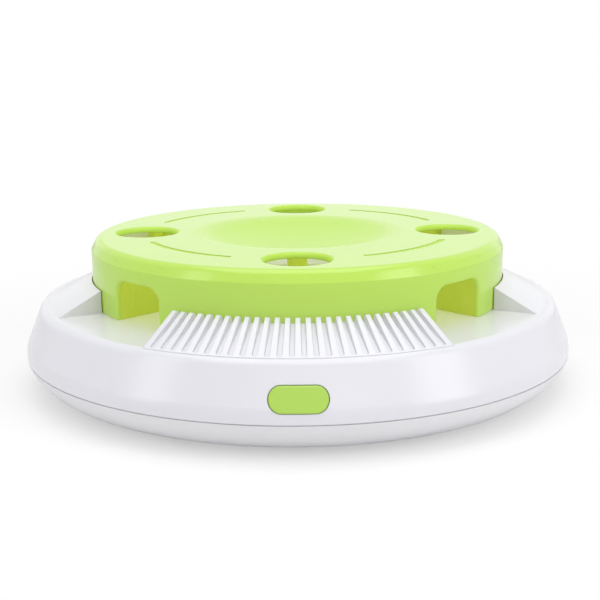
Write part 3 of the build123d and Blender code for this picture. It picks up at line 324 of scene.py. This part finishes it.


# %% Finish of the cover, with painted shade and painted glow, where the masks are
def change_input(socket, mask, value):
    """Blends what feeds an input of the plastic's shader towards a value, by the mask."""
    is_color = isinstance(value, tuple)
    choose = add_node(cover_tree, "ShaderNodeMix", data_type="RGBA" if is_color else "FLOAT")
    kind = "Color" if is_color else "Float"
    ends = {end.identifier: end for end in (*choose.inputs, *choose.outputs)}
    target = cover_tree.nodes["Principled BSDF"].inputs[socket]
    cover_tree.links.new(target.links[0].from_socket, ends[f"A_{kind}"])
    cover_tree.links.new(mask, ends["Factor_Float"])
    ends[f"B_{kind}"].default_value = (*value, 1.0) if is_color else value
    cover_tree.links.new(ends[f"Result_{kind}"], target)


# A deeper lime is painted shade in the grooves and hole lips.
painted_shade_lime = (0.46, 0.72, 0.06)
# A yellower lime is a painted glow on the inner walls, standing in for light through the plastic.
painted_glow_lime = (0.64, 0.74, 0.1)
groove_roughness = 0.5
dish_roughness = 0.36
# The grooves and lips: satin roughness, plus a deeper lime that is painted shade.
change_input("Base Color", satin_and_shade_ring, painted_shade_lime)
change_input("Roughness", satin_and_shade_ring, groove_roughness)
change_input("Roughness", dish, dish_roughness)
# Painted glow: the inner walls are coloured yellower rather than lit yellower.
change_input("Base Color", painted_glow_walls, painted_glow_lime)
print("the lime plastic has", len(cover_tree.nodes), "nodes")

# %% [markdown]
# Rubber and felt use the same group. They are rough and hardly shine. Their grain is much deeper than that of
# plastic, finer on the rubber and coarser on the felt. Felt also has a pale fuzz at its rim, which is the
# shader's own sheen.

# %% Rubber and felt
rubber_values = {"Grain Scale": 2600.0, "Wave": 0.0, "Drift": 0.3}
felt_values = {"Grain Scale": 900.0, "Wave": 0.6, "Drift": 0.12}
felt_sheen = {"Sheen_Weight": 0.4, "Sheen_Roughness": 0.5}
foot_rubber = moulded_plastic("foot_rubber", (0.02, 0.02, 0.02), 0.75, 0.8, rubber_values)
lure_felt = moulded_plastic("lure_felt", (0.72, 0.7, 0.64), 0.85, 1.0, felt_values, **felt_sheen)
print("soft materials:", foot_rubber.name, "and", lure_felt.name)

# %% [markdown]
# Turned and drawn metal has fine scratches in one direction. A second group stretches a noise along an axis
# and lets it vary the roughness and tilt the surface.

# %% Node group of the brushed surface
scratch_on_roughness = 0.18
scratch_height = 0.00003

brushed_group, group_in, group_out = new_group(
    "brushed_surface",
    [
        ("Stretch", "NodeSocketVector", (600.0, 600.0, 12000.0)),
        ("Roughness", "NodeSocketFloat", 0.25),
        ("Scratch", "NodeSocketFloat", 0.2),
    ],
    [("Roughness", "NodeSocketFloat"), ("Normal", "NodeSocketVector")],
)
place = add_node(brushed_group, "ShaderNodeTexCoord")
stretch = add_node(brushed_group, "ShaderNodeVectorMath", operation="MULTIPLY")
scratches = add_node(brushed_group, "ShaderNodeTexNoise", {"Scale": 1.0, "Detail": 2.0})
links = brushed_group.links
links.new(place.outputs["Object"], stretch.inputs[0])
links.new(group_in.outputs["Stretch"], stretch.inputs[1])
links.new(stretch.outputs["Vector"], scratches.inputs["Vector"])
uneven = add_node(brushed_group, "ShaderNodeMath", operation="MULTIPLY_ADD")
links.new(scratches.outputs["Fac"], uneven.inputs[0])
uneven.inputs[1].default_value = scratch_on_roughness
links.new(group_in.outputs["Roughness"], uneven.inputs[2])
links.new(uneven.outputs["Value"], group_out.inputs["Roughness"])
scratch_bump = add_node(brushed_group, "ShaderNodeBump", {"Distance": scratch_height})
links.new(group_in.outputs["Scratch"], scratch_bump.inputs["Strength"])
links.new(scratches.outputs["Fac"], scratch_bump.inputs["Height"])
links.new(scratch_bump.outputs["Normal"], group_out.inputs["Normal"])
print("brushed surface group has", len(brushed_group.nodes), "nodes")


# %% Metals from the brushed surface
def brushed_metal(name, color, roughness, stretch):
    """Metal of one colour with scratches; stretch is how often per metre the noise changes on each axis."""
    material, tree, shader = new_material(name)
    surface = use_group(tree, brushed_group, {"Stretch": stretch, "Roughness": roughness})
    tree.links.new(surface.outputs["Roughness"], shader.inputs["Roughness"])
    tree.links.new(surface.outputs["Normal"], shader.inputs["Normal"])
    shader.inputs["Base Color"].default_value = (*color, 1.0)
    shader.inputs["Metallic"].default_value = 1.0
    return material


screw_steel = brushed_metal("screw_steel", (0.58, 0.58, 0.6), 0.28, (2500.0, 2500.0, 9000.0))
pin_steel = brushed_metal("pin_steel", (0.66, 0.66, 0.68), 0.15, (800.0, 800.0, 9000.0))
contact_steel = brushed_metal("contact_steel", (0.7, 0.69, 0.66), 0.25, (9000.0, 700.0, 7000.0))
bush_brass = brushed_metal("bush_brass", (0.78, 0.56, 0.22), 0.25, (900.0, 900.0, 9000.0))
can_steel = brushed_metal("can_steel", (0.6, 0.6, 0.61), 0.22, (9000.0, 9000.0, 400.0))
can_aluminium = brushed_metal("can_aluminium", (0.72, 0.73, 0.75), 0.3, (5000.0, 600.0, 5000.0))
print("metals ready, from", screw_steel.name, "to", can_aluminium.name)

# %% [markdown]
# The circuit board's varnish is green over copper tracks, which show as paler lines. Bricks with a thin
# mortar make a believable net of tracks.

# %% Circuit board
board_varnish, tree, shader = new_material("board_varnish")
place = add_node(tree, "ShaderNodeTexCoord")
turn = add_node(tree, "ShaderNodeMapping", {"Rotation": (math.pi / 2, 0.0, 0.0)})
tracks = add_node(
    tree,
    "ShaderNodeTexBrick",
    {
        "Scale": 1.0,
        "Mortar Size": 0.00016,
        "Brick Width": 0.0034,
        "Row Height": 0.0013,
        "Color1": (0.012, 0.16, 0.06, 1.0),
        "Color2": (0.014, 0.19, 0.07, 1.0),
        "Mortar": (0.05, 0.36, 0.14, 1.0),
    },
)
tree.links.new(place.outputs["Object"], turn.inputs["Vector"])
tree.links.new(turn.outputs["Vector"], tracks.inputs["Vector"])
tree.links.new(tracks.outputs["Color"], shader.inputs["Base Color"])
track_bump = add_node(tree, "ShaderNodeBump", {"Strength": 0.4, "Distance": 0.00005})
tree.links.new(tracks.outputs["Fac"], track_bump.inputs["Height"])
tree.links.new(track_bump.outputs["Normal"], shader.inputs["Normal"])
shader.inputs["Roughness"].default_value = 0.25
print("circuit board varnish ready")

# %% [markdown]
# Each cell wears a dark sleeve with a plain coppery band near each end, and its ends are bare metal. All of
# these follow the cell's length, so a ramp colours them by the distance along X from the cell's middle.

# %% Battery cells
ramp_length = 0.0275
band_start = 0.56
bare_start = 0.86
cell_sleeve, tree, shader = new_material("cell_sleeve")
place = add_node(tree, "ShaderNodeTexCoord")
split = add_node(tree, "ShaderNodeSeparateXYZ")
tree.links.new(place.outputs["Object"], split.inputs["Vector"])
along = add_node(tree, "ShaderNodeMath", operation="ABSOLUTE")
tree.links.new(split.outputs["X"], along.inputs[0])
bands = add_node(tree, "ShaderNodeValToRGB")
bands.color_ramp.interpolation = "CONSTANT"
ramp = bands.color_ramp.elements
ramp[0].position, ramp[0].color = 0.0, (0.03, 0.03, 0.035, 1.0)
ramp[1].position, ramp[1].color = band_start, (0.55, 0.26, 0.09, 1.0)
bare_end = ramp.new(bare_start)
bare_end.color = (0.62, 0.62, 0.63, 1.0)
scale_up = add_node(tree, "ShaderNodeMath", operation="MULTIPLY")
scale_up.inputs[1].default_value = 1 / ramp_length
tree.links.new(along.outputs["Value"], scale_up.inputs[0])
tree.links.new(scale_up.outputs["Value"], bands.inputs["Fac"])
tree.links.new(bands.outputs["Color"], shader.inputs["Base Color"])
bare_mask = add_node(tree, "ShaderNodeMath", operation="GREATER_THAN")
bare_mask.inputs[1].default_value = bare_start
tree.links.new(scale_up.outputs["Value"], bare_mask.inputs[0])
tree.links.new(bare_mask.outputs["Value"], shader.inputs["Metallic"])
shader.inputs["Roughness"].default_value = 0.3
print("cell sleeve ready")

# %% [markdown]
# The small pieces that the CAD model keeps plain are made here as surfaces. Each one is a stack of rings of
# points, from one pole to the other, and one helper turns any such stack into a closed skin.


# %% Skin over a stack of rings
def skin_over_rings(rings):
    """Points and faces of a closed skin. Ring k meets ring k + 1 point by point, and the first and the last
    ring shrink to one point each."""
    ring_count, around = rings.shape[:2]
    points = np.vstack([rings[0, :1], rings[1:-1].reshape(-1, 3), rings[-1, :1]])
    here = 1 + np.arange((ring_count - 2) * around).reshape(ring_count - 2, around)
    ahead = np.roll(here, -1, axis=1)
    quads = np.stack([here[:-1], here[1:], ahead[1:], ahead[:-1]], axis=-1).reshape(-1, 4)
    first_fan = np.stack([np.zeros_like(here[0]), here[0], ahead[0]], axis=-1)
    last_fan = np.stack([np.full_like(here[-1], len(points) - 1), ahead[-1], here[-1]], axis=-1)
    return points, [quads, first_fan, last_fan]


def copies_of(points, face_sets, places):
    """The same skin at several places, as one set of points and faces."""
    all_points = (np.asarray(places)[:, None, :] + points[None]).reshape(-1, 3)
    steps = np.arange(len(places)) * len(points)
    all_faces = [(steps[:, None, None] + faces[None]).reshape(-1, faces.shape[1]) for faces in face_sets]
    return all_points, all_faces


def add_piece(name, points, face_sets, material, body, node, crease=math.radians(40)):
    """Makes a smooth mesh with creases, which rides on a body and stands for a CAD node."""
    mesh = bpy.data.meshes.new(name)
    mesh.from_pydata(points.tolist(), [], [face for faces in face_sets for face in faces.tolist()])
    mesh.validate()
    mesh.shade_smooth()
    mesh.set_sharp_from_angle(angle=crease)
    mesh.materials.append(material)
    piece = add_object(name, mesh)
    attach(piece, body)
    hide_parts(node)
    volume = sum(
        np.einsum("ij,ij->", points[faces[:, 0]], np.cross(points[faces[:, k]], points[faces[:, k + 1]])) / 6
        for faces in face_sets
        for k in range(1, faces.shape[1] - 1)
    )
    print(name, "has", len(mesh.polygons), "faces and holds", round(volume * 1e9, 1), "cubic mm")


# %% [markdown]
# A screw is a shape turned about its own axis, apart from two things: the thread, which climbs as it goes
# round, and the cross in its head. Both are a small change of radius or height, worked out for every point of
# the grid at once. The CAD model gives where each screw lies and how long it is. The sizes of the head are
# shares of its radius or height, and the pitch is in metres.

# %% Shape of a screw
thread_pitch = 0.0009
thread_share = 0.16
point_length = 1.6
point_bluntness = 0.6
cross_width = 0.22
cross_reach = 0.62
cross_depth = 0.5
cross_side_slope = 12
cross_end_slope = 9
dome_drop = 0.3
dome_rings = np.concatenate([np.linspace(0.0, 0.7, 15), np.linspace(0.74, 0.97, 6)])
rim_radii = np.array([1.0, 1.0, 0.97, 0.6])
rim_heights = np.array([0.6, 0.12, 0.0, 0.0])
screw_around = 40
rings_per_turn = 6


def cross_arm(along, across):
    """1 in one arm of the cross and 0 outside it, with steep sides."""
    in_width = np.clip((cross_width - np.abs(across)) * cross_side_slope, 0, 1)
    return in_width * np.clip((cross_reach - np.abs(along)) * cross_end_slope, 0, 1)


def screw_rings(head_radius, head_height, shank_radius, length):
    """Rings of a screw whose head stands on z = 0, with the tip at minus its length. The head is a low dome,
    sunk where a point lies in one of the cross's two arms. The shank's radius falls and rises with
    depth / pitch + angle / 2 pi, which is a thread, and it runs out to a point."""
    turn = np.linspace(0.0, 2 * math.pi, screw_around, endpoint=False)[None, :]
    across = dome_rings[:, None]
    x = across * np.cos(turn)
    y = across * np.sin(turn)
    cross = np.maximum(cross_arm(x, y), cross_arm(y, x))
    top = head_height * (1 - dome_drop * across**2 - cross_depth * cross)
    head = np.stack([head_radius * x, head_radius * y, top], axis=-1)
    side_radius = head_radius * rim_radii[:, None]
    side_height = head_height * rim_heights[:, None]
    side = np.stack([side_radius * np.cos(turn), side_radius * np.sin(turn), side_height + 0 * turn], axis=-1)
    depth = np.linspace(0.0, length, int(length / thread_pitch * rings_per_turn))[:, None]
    wave = np.abs(2 * np.mod(depth / thread_pitch + turn / (2 * math.pi), 1) - 1)
    point = np.clip((length - depth) / (point_length * shank_radius), 0, 1) ** point_bluntness
    radius = shank_radius * (1 - thread_share * wave) * point
    shank = np.stack([radius * np.cos(turn), radius * np.sin(turn), -depth + 0 * turn], axis=-1)
    return np.concatenate([head, side, shank])


print("a screw's head has", len(dome_rings) + len(rim_radii), "rings of", screw_around, "points")


# %% Upright screws
def node_points(node):
    """Vertices of a CAD node as an array."""
    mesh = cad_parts[node].data
    points = np.empty(3 * len(mesh.vertices))
    mesh.vertices.foreach_get("co", points)
    return points.reshape(-1, 3)


def add_upright_screws(name, node, head_radius, head_height, shank_radius, body, heads_up):
    """Four screws for a node that holds one in each quarter of the plan."""
    points = node_points(node)
    places = []
    for side_x, side_y in ((1, 1), (-1, 1), (-1, -1), (1, -1)):
        own = points[(points[:, 0] * side_x > 0) & (points[:, 1] * side_y > 0)]
        low, high = own.min(axis=0), own.max(axis=0)
        seat = high[2] - head_height if heads_up else low[2] + head_height
        places.append(((low[0] + high[0]) / 2, (low[1] + high[1]) / 2, seat))
        length = high[2] - low[2] - head_height
    one, faces = skin_over_rings(screw_rings(head_radius, head_height, shank_radius, length))
    if not heads_up:
        one = one * np.array([1.0, -1.0, -1.0])
    many, faces = copies_of(one, faces, places)
    add_piece(name, many, faces, screw_steel, body, node)


casing_screw = {"head_radius": 0.0029, "head_height": 0.0022, "shank_radius": 0.0015}
cover_screw = {"head_radius": 0.0029, "head_height": 0.002, "shank_radius": 0.0015}
gearbox_screw = {"head_radius": 0.0024, "head_height": 0.0016, "shank_radius": 0.0013}
add_upright_screws("casing_screw_set", "casing_screws", **casing_screw, body="casing", heads_up=False)
add_upright_screws("cover_screw_set", "cover_screws", **cover_screw, body="casing", heads_up=False)
add_upright_screws("gearbox_screw_set", "gearbox_screws", **gearbox_screw, body="casing", heads_up=True)

# %% Board screws
board_points = node_points("board_screws")
low, high = board_points.min(axis=0), board_points.max(axis=0)
board_head_radius = (high[2] - low[2]) / 2
board_head_height = 0.0013
board_shank_radius = 0.0011
board_shank_length = high[1] - low[1] - board_head_height
one, faces = skin_over_rings(
    screw_rings(board_head_radius, board_head_height, board_shank_radius, board_shank_length)
)
one = one[:, [0, 2, 1]] * np.array([1.0, -1.0, 1.0])
seat = low[1] + board_head_height
side_x = high[0] - board_head_radius
middle_z = (low[2] + high[2]) / 2
places = [(-side_x, seat, middle_z), (side_x, seat, middle_z)]
many, faces = copies_of(one, faces, places)
add_piece("board_screw_set", many, faces, screw_steel, "casing", "board_screws")

# %% [markdown]
# The lure is a foam rubber ball in a felt cover, with one seam that winds round it as on a tennis ball. The
# seam is a closed curve on the sphere, and the ball's radius drops a little where a point comes near it. The
# lumps are slow sines along X, Y and Z, each with its own number of waves and its own start.

# %% Lure ball
seam_bend = 0.44
seam_depth = 0.035
seam_spread = 0.07
seam_points = 240
lump_height = 0.006
lump_waves = ((9, 2), (8, 0), (10, 1))
lure_rings = 96
lure_around = 192


def lure_points(middle, radius, floor_z):
    """Sphere with a groove along the curve x = a cos t + b cos 3t, y = a sin t - b sin 3t, z = c sin 2t, with
    a + b = 1 and c twice the root of a b. Slow sines make it lumpy, and it is cut flat where it sits."""
    fall = np.linspace(0.0, math.pi, lure_rings)[:, None]
    turn = np.linspace(0.0, 2 * math.pi, lure_around, endpoint=False)[None, :]
    ways = np.stack(
        [np.sin(fall) * np.cos(turn), np.sin(fall) * np.sin(turn), np.cos(fall) + 0 * turn], axis=-1
    )
    t = np.linspace(0.0, 2 * math.pi, seam_points, endpoint=False)
    a, b = 1 - seam_bend / 2, seam_bend / 2
    c = 2 * math.sqrt(a * b)
    seam = np.stack(
        [a * np.cos(t) + b * np.cos(3 * t), a * np.sin(t) - b * np.sin(3 * t), c * np.sin(2 * t)], axis=-1
    )
    nearness = (ways @ seam.T).max(axis=-1)
    gap = np.sqrt(np.clip(2 - 2 * nearness, 0, None))
    sines = [np.sin(waves * ways[..., axis] + start) for axis, (waves, start) in enumerate(lump_waves)]
    lumps = sines[0] * sines[1] * sines[2]
    groove = seam_depth * np.exp(-((gap / seam_spread) ** 2))
    reach = radius * (1 - lump_height - groove + lump_height * lumps)
    points = np.asarray(middle) + reach[..., None] * ways
    points[..., 2] = np.maximum(points[..., 2], floor_z)
    return points


low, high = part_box("lure_ball")
lure_radius = (high.x - low.x) / 2
lure_middle = ((low.x + high.x) / 2, (low.y + high.y) / 2, high.z - lure_radius)
points, faces = skin_over_rings(lure_points(lure_middle, lure_radius, low.z))
add_piece("felt_lure", points, faces, lure_felt, "rotor", "lure_ball", crease=math.pi)

# %% [markdown]
# Every CAD node gets its finish by putting a material in its slots. That includes the five nodes that the
# screws and the lure stand for.

# %% Dress the CAD nodes
finishes = {
    "lower_casing": base_plastic,
    "upper_casing": white_plastic,
    "comb_ramp": comb_plastic,
    "top_cover": lime_plastic,
    "power_button": button_plastic,
    "rubber_feet": foot_rubber,
    "casing_screws": screw_steel,
    "cover_screws": screw_steel,
    "gearbox_screws": screw_steel,
    "board_screws": screw_steel,
    "gearbox_frame": black_plastic,
    "gearbox_lid": black_plastic,
    "gear_pins": pin_steel,
    "output_bush": bush_brass,
    "motor": can_steel,
    "motor_shaft": pin_steel,
    "motor_pinion": bush_brass,
    "first_gear": gear_plastic,
    "second_gear": gear_plastic,
    "output_gear": gear_plastic,
    "output_shaft": pin_steel,
    "turntable": white_plastic,
    "lure_ball": lure_felt,
    "circuit_board": board_varnish,
    "control_chip": black_plastic,
    "capacitor": can_aluminium,
    "power_switch": black_plastic,
    "switch_plunger": black_plastic,
    "battery_cells": cell_sleeve,
    "battery_contacts": contact_steel,
    "battery_springs": contact_steel,
    "battery_door": base_plastic,
}
for node_name, node_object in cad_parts.items():
    for slot in node_object.material_slots:
        slot.material = finishes[node_name]
print("dressed", len(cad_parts), "nodes")

# %% [markdown]
# The studio is a pale floor that fades into white, a white world, and five soft boxes: a large one above, one
# on each side, whose reflections run down the casing as pale bands, a low wide one behind, and a thin one in
# front. The level top of the cover mirrors what stands low behind it, so the lamp there turns the lime top
# pale, as polished plastic does. The thin one in front draws the bright line round the cover's shoulder. The
# camera sees the floor as a mix of paper and white glow near the toy, and as the glow alone further out.

# %% Floor
floor_reach = 3.0
paper_values = {"Base Color": (0.9, 0.9, 0.9, 1.0), "Roughness": 0.9, "Specular IOR Level": 0.2}
glow_start = 0.1
glow_end = 0.4
glow_at_toy = 0.45

corners = np.array([(-1.0, -1.0, 0.0), (1.0, -1.0, 0.0), (1.0, 1.0, 0.0), (-1.0, 1.0, 0.0)]) * floor_reach
floor_mesh = bpy.data.meshes.new("studio_floor")
floor_mesh.from_pydata(corners.tolist(), [], [(0, 1, 2, 3)])
floor = add_object("studio_floor", floor_mesh)
floor_material, tree, shader = new_material("floor_paper")
for socket_name, value in paper_values.items():
    shader.inputs[socket_name].default_value = value
fade = add_node(tree, "ShaderNodeMixShader")
glow = add_node(tree, "ShaderNodeEmission", {"Strength": 1.0})
rays = add_node(tree, "ShaderNodeLightPath")
place = add_node(tree, "ShaderNodeTexCoord")
reach = add_node(tree, "ShaderNodeVectorMath", operation="LENGTH")
ring = add_node(
    tree,
    "ShaderNodeMapRange",
    {"From Min": glow_start, "From Max": glow_end, "To Min": glow_at_toy},
    interpolation_type="SMOOTHSTEP",
)
seen = add_node(tree, "ShaderNodeMath", operation="MULTIPLY")
tree.links.new(place.outputs["Object"], reach.inputs[0])
tree.links.new(reach.outputs["Value"], ring.inputs["Value"])
tree.links.new(ring.outputs["Result"], seen.inputs[0])
tree.links.new(rays.outputs["Is Camera Ray"], seen.inputs[1])
tree.links.new(seen.outputs["Value"], fade.inputs["Fac"])
tree.links.new(shader.outputs["BSDF"], fade.inputs[1])
tree.links.new(glow.outputs["Emission"], fade.inputs[2])
tree.links.new(fade.outputs["Shader"], tree.nodes["Material Output"].inputs["Surface"])
floor_mesh.materials.append(floor_material)
print("floor is", 2 * floor_reach, "m across")

# %% [markdown]
# The world is full white where the camera sees it or a surface mirrors it, and dimmer as a light.

# %% World
world_light = 0.52
world = bpy.data.worlds.new("studio_world")
bpy.context.scene.world = world
world.use_nodes = True
tree = world.node_tree
tree.nodes.clear()
ambient = add_node(tree, "ShaderNodeBackground", {"Color": (1.0, 1.0, 1.0, 1.0), "Strength": world_light})
backdrop = add_node(tree, "ShaderNodeBackground", {"Color": (1.0, 1.0, 1.0, 1.0), "Strength": 1.0})
rays = add_node(tree, "ShaderNodeLightPath")
direct = add_node(tree, "ShaderNodeMath", operation="MAXIMUM")
mix = add_node(tree, "ShaderNodeMixShader")
world_output = add_node(tree, "ShaderNodeOutputWorld")
tree.links.new(rays.outputs["Is Camera Ray"], direct.inputs[0])
tree.links.new(rays.outputs["Is Glossy Ray"], direct.inputs[1])
tree.links.new(direct.outputs["Value"], mix.inputs["Fac"])
tree.links.new(ambient.outputs["Background"], mix.inputs[1])
tree.links.new(backdrop.outputs["Background"], mix.inputs[2])
tree.links.new(mix.outputs["Shader"], world_output.inputs["Surface"])
print("world ready, with", world_light, "of its white as light")


# %% Lamps
def soft_box(name, location, target, width, height, watts):
    """Rectangular lamp at the location, turned to face the target."""
    lamp_data = bpy.data.lights.new(name, "AREA")
    lamp_data.shape = "RECTANGLE"
    lamp_data.size = width
    lamp_data.size_y = height
    lamp_data.energy = watts
    lamp = add_object(name, lamp_data)
    lamp.location = location
    direction = np.array(target) - np.array(location)
    tilt = math.atan2(math.hypot(direction[0], direction[1]), -direction[2])
    heading = math.atan2(direction[1], direction[0]) - math.pi / 2
    lamp.rotation_euler = (tilt, 0.0, heading)


toy_middle = (0.0, 0.0, 0.04)
cover_top = (0.0, 0.0, 0.08)
soft_box("lamp_above", (0.0, -0.1, 1.2), toy_middle, width=1.2, height=1.2, watts=8.3)
soft_box("lamp_left", (-1.08, -0.67, 0.5), toy_middle, width=0.35, height=0.9, watts=2.4)
soft_box("lamp_right", (1.08, -0.67, 0.5), toy_middle, width=0.5, height=0.9, watts=4.1)
soft_box("lamp_behind", (0.0, 1.3, 0.28), cover_top, width=2.4, height=0.5, watts=0.5)
soft_box("lamp_front", (0.12, -1.4, 0.62), cover_top, width=1.4, height=0.1, watts=0.9)
print("five soft boxes ready")
